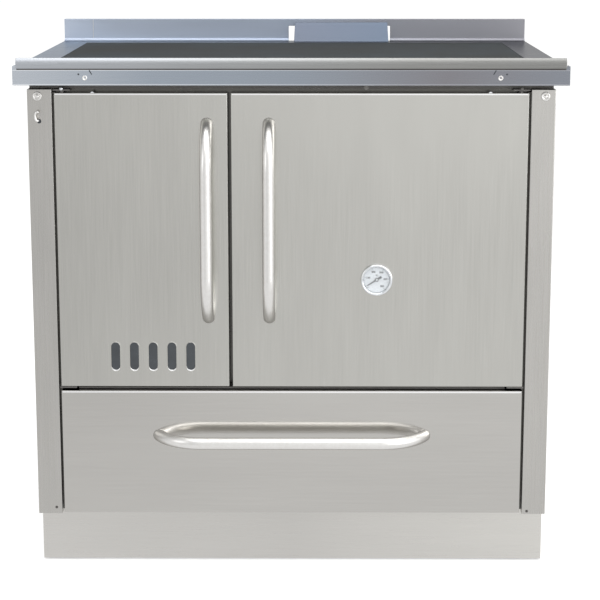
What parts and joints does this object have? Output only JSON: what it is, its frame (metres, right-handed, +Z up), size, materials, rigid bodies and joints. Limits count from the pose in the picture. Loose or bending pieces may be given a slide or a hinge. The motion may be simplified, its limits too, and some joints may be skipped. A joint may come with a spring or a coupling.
{
  "type": "wood cookstove",
  "caption": "Built-in stainless wood cookstove: firebox door, oven door with thermometer, wood drawer, plain hob plate, raised front nosing and rear flue outlet.",
  "frame": {"origin": "on the floor, under the middle of the whole stove's bounding box, handles and flue collar included", "axes": "+X to the right of someone who stands at the front, +Y from the doors to the rear panel, +Z up"},
  "size_m": [0.9, 0.634, 0.907],
  "materials": {
    "stainless_panel": "fine brushed stainless steel",
    "worktop_steel": "satin stainless steel, blue-grey",
    "handle_steel": "satin-polished stainless tube",
    "dark_steel": "heat-darkened matt steel",
    "galvanised_sheet": "galvanised sheet",
    "hob_iron": "ground, seasoned cast iron",
    "grate_iron": "raw cast iron",
    "firebrick": "pressed fireclay",
    "gasket_rope": "braided glass-fibre rope",
    "oven_enamel": "dark vitreous enamel",
    "chrome_bezel": "polished",
    "dial_white": "silver-white dial with plain numbers",
    "gauge_glass": "clear",
    "needle_black": "dark grey",
    "foot_black": "black"
  },
  "bodies": {
    "cabinet": {"plinth": "stainless_panel", "levelling_foot_front_left": "foot_black", "levelling_foot_front_right": "foot_black", "levelling_foot_rear_left": "foot_black", "levelling_foot_rear_right": "foot_black", "base_tray": "galvanised_sheet", "left_stile": "stainless_panel", "right_stile": "stainless_panel", "stile_screw_left": "handle_steel", "stile_screw_right": "handle_steel", "left_side_panel": "stainless_panel", "right_side_panel": "stainless_panel", "rear_panel": "galvanised_sheet", "top_crossrail": "dark_steel", "centre_mullion": "dark_steel", "drawer_deck": "dark_steel", "front_nosing": "worktop_steel", "front_fascia": "worktop_steel", "worktop_frame": "worktop_steel", "hob_gasket": "gasket_rope", "hob_plate": "hob_iron", "backsplash": "worktop_steel", "firebox_hinge_bottom": "dark_steel", "firebox_hinge_top": "dark_steel", "oven_hinge_bottom": "dark_steel", "oven_hinge_top": "dark_steel", "firebox_shell": "dark_steel", "firebrick_left": "firebrick", "firebrick_right": "firebrick", "firebrick_rear": "firebrick", "fire_grate": "grate_iron", "oven_box": "oven_enamel", "flue_duct": "dark_steel", "flue_collar": "dark_steel", "drawer_runner_left": "galvanised_sheet", "drawer_runner_right": "galvanised_sheet"},
    "firebox_door": {"firebox_door_skin": "stainless_panel", "firebox_door_liner": "dark_steel", "firebox_door_gasket": "gasket_rope", "firebox_door_handle": "handle_steel", "firebox_door_catch": "dark_steel"},
    "oven_door": {"oven_door_skin": "stainless_panel", "oven_door_liner": "oven_enamel", "oven_door_gasket": "gasket_rope", "oven_door_handle": "handle_steel", "oven_door_catch": "dark_steel", "thermometer_case": "chrome_bezel", "thermometer_dial": "dial_white", "thermometer_lens": "gauge_glass"},
    "thermometer_needle": {"thermometer_needle": "needle_black"},
    "wood_drawer": {"drawer_front": "stainless_panel", "drawer_box": "galvanised_sheet", "drawer_handle": "handle_steel"},
    "ash_drawer": {"ash_drawer": "dark_steel"},
    "oven_rack": {"oven_rack": "handle_steel"},
    "flue_cover": {"flue_cover": "worktop_steel"},
    "air_control": {"air_control_rod": "handle_steel", "air_shutter": "galvanised_sheet"},
    "damper": {"damper_rod": "handle_steel", "damper_plate": "grate_iron"}
  },
  "joints": [
    {"name": "firebox_door_hinge", "type": "hinge", "parent": "cabinet", "child": "firebox_door", "pos_m": [-0.377, -0.25, 0.5705], "axis": [0, 0, -1], "range_deg": [0, 110]},
    {"name": "oven_door_hinge", "type": "hinge", "parent": "cabinet", "child": "oven_door", "pos_m": [0.377, -0.25, 0.5705], "axis": [0, 0, 1], "range_deg": [0, 110]},
    {"name": "thermometer_spindle", "type": "hinge", "parent": "oven_door", "child": "thermometer_needle", "pos_m": [0.142, -0.258, 0.507], "axis": [0, 1, 0], "range_deg": [-10, 262], "stiffness_Nm_per_rad": 0.0005},
    {"name": "wood_drawer_slide", "type": "slide", "parent": "cabinet", "child": "wood_drawer", "axis": [0, -1, 0], "range_m": [0, 0.38]},
    {"name": "ash_drawer_slide", "type": "slide", "parent": "cabinet", "child": "ash_drawer", "axis": [0, -1, 0], "range_m": [0, 0.0995]},
    {"name": "oven_rack_slide", "type": "slide", "parent": "cabinet", "child": "oven_rack", "axis": [0, -1, 0], "range_m": [0, 0.109]},
    {"name": "flue_cover_lift", "type": "slide", "parent": "cabinet", "child": "flue_cover", "axis": [0, 0, 1], "range_m": [0, 0.07]},
    {"name": "air_control_slide", "type": "slide", "parent": "cabinet", "child": "air_control", "axis": [0, -1, 0], "range_m": [0, 0.025]},
    {"name": "damper_slide", "type": "slide", "parent": "cabinet", "child": "damper", "axis": [0, -1, 0], "range_m": [0, 0.06]}
  ],
  "couplings": [
    {"joint": "ash_drawer_slide", "follows": "firebox_door_hinge", "m_per_rad": 0.0518},
    {"joint": "oven_rack_slide", "follows": "oven_door_hinge", "m_per_rad": 0.0567}
  ]
}
